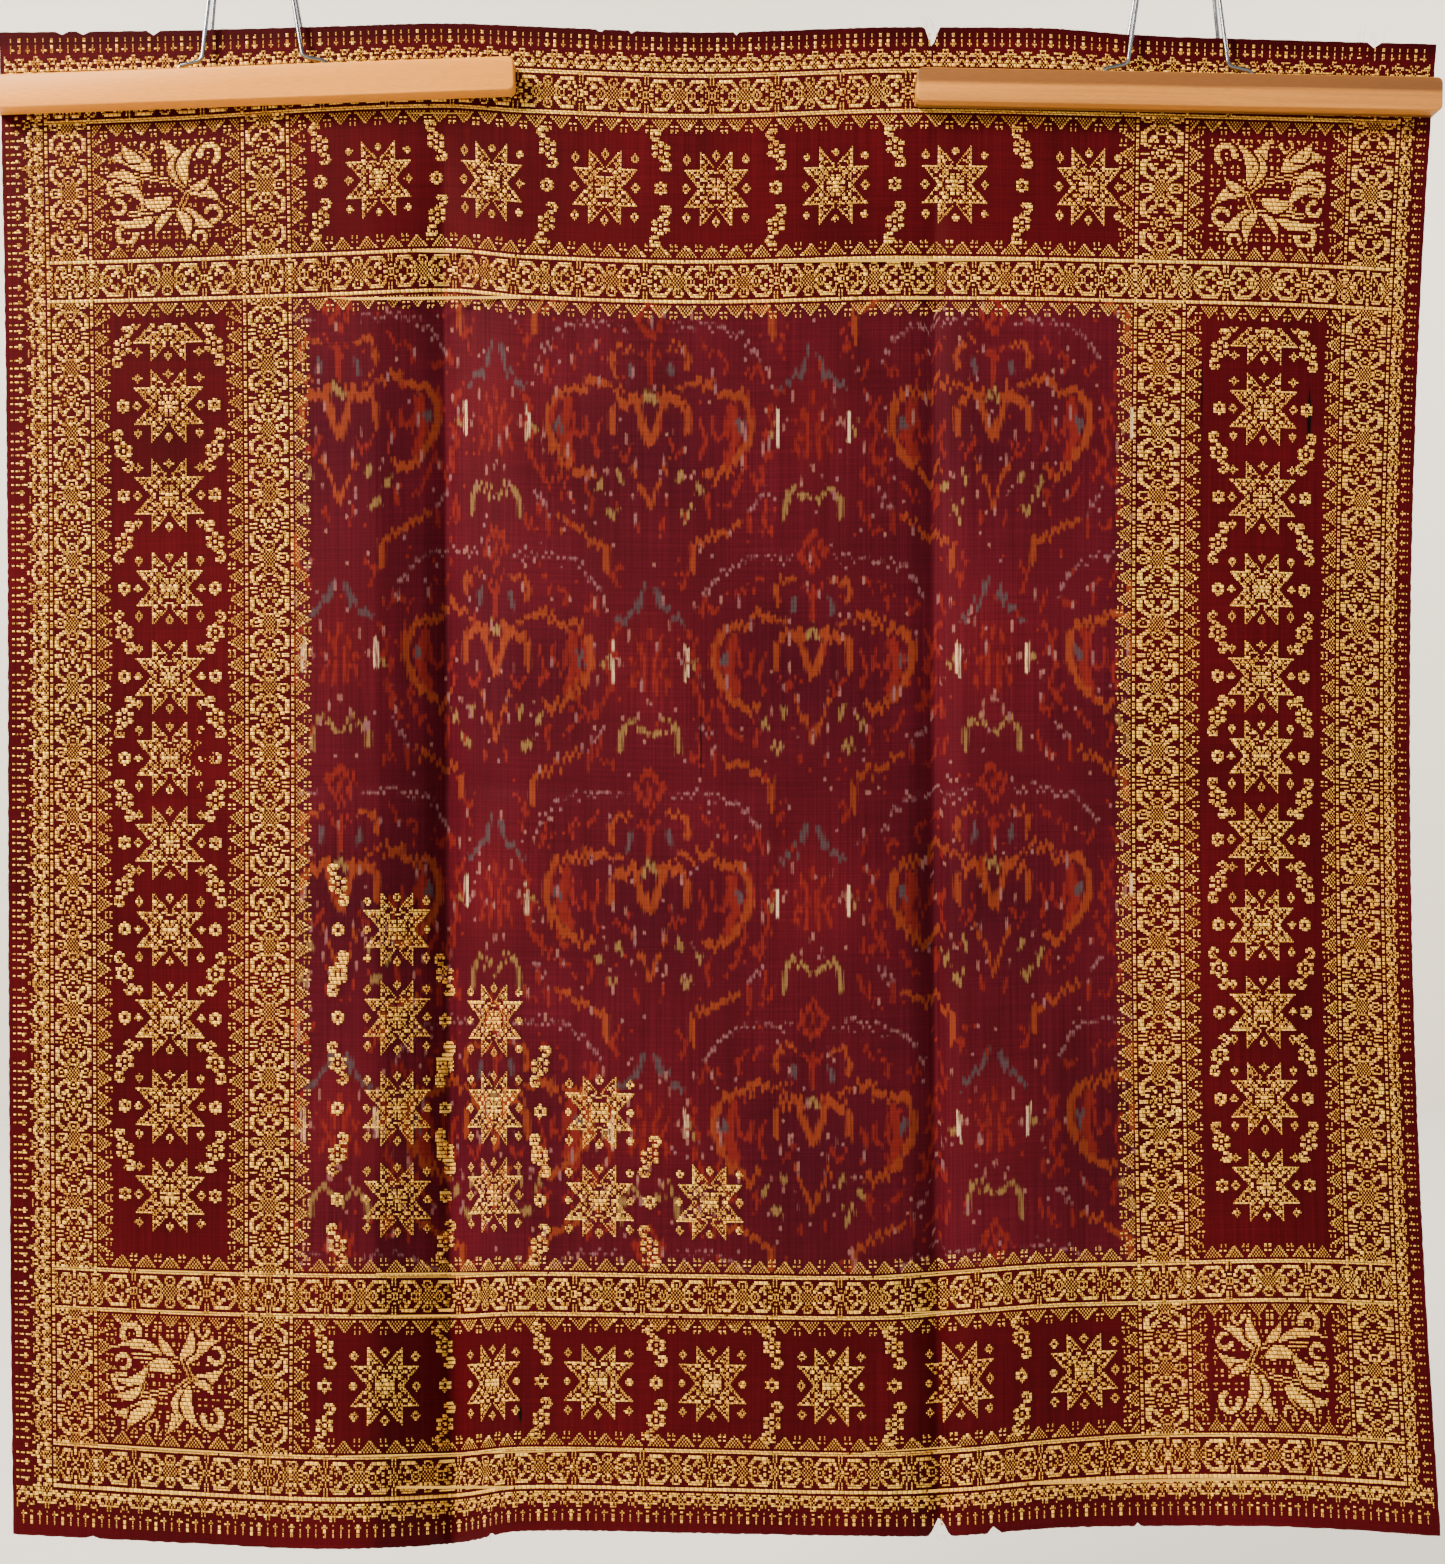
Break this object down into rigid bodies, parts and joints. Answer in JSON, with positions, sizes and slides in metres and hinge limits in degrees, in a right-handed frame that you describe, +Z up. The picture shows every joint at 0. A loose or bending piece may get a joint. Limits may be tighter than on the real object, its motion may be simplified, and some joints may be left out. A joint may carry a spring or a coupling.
{
  "type": "songket cloth on clamp hangers",
  "caption": "Square silk head cloth with brocaded gold borders and an ikat centre, hanging in soft folds from wooden clamp hangers with wire bails and hooks.",
  "frame": {"origin": "midway between the two hooks, at the height where they sit on what holds them", "axes": "+X to the right as the patterned face is seen, +Y away from the viewer through the cloth, +Z up"},
  "size_m": [0.867, 0.0441, 1.0734],
  "materials": {
    "silk": "woven silk with gold supplementary weft",
    "beech": "clear varnish",
    "wire": "polished plating"
  },
  "bodies": {
    "root": {"songket_cloth": "silk", "hanger_left_front_slat": "beech", "hanger_left_front_bail": "wire", "hanger_left_back_slat": "beech", "hanger_left_back_bail": "wire", "hanger_left_hook": "wire", "hanger_right_front_slat": "beech", "hanger_right_front_bail": "wire", "hanger_right_back_slat": "beech", "hanger_right_back_bail": "wire", "hanger_right_hook": "wire"}
  },
  "joints": []
}
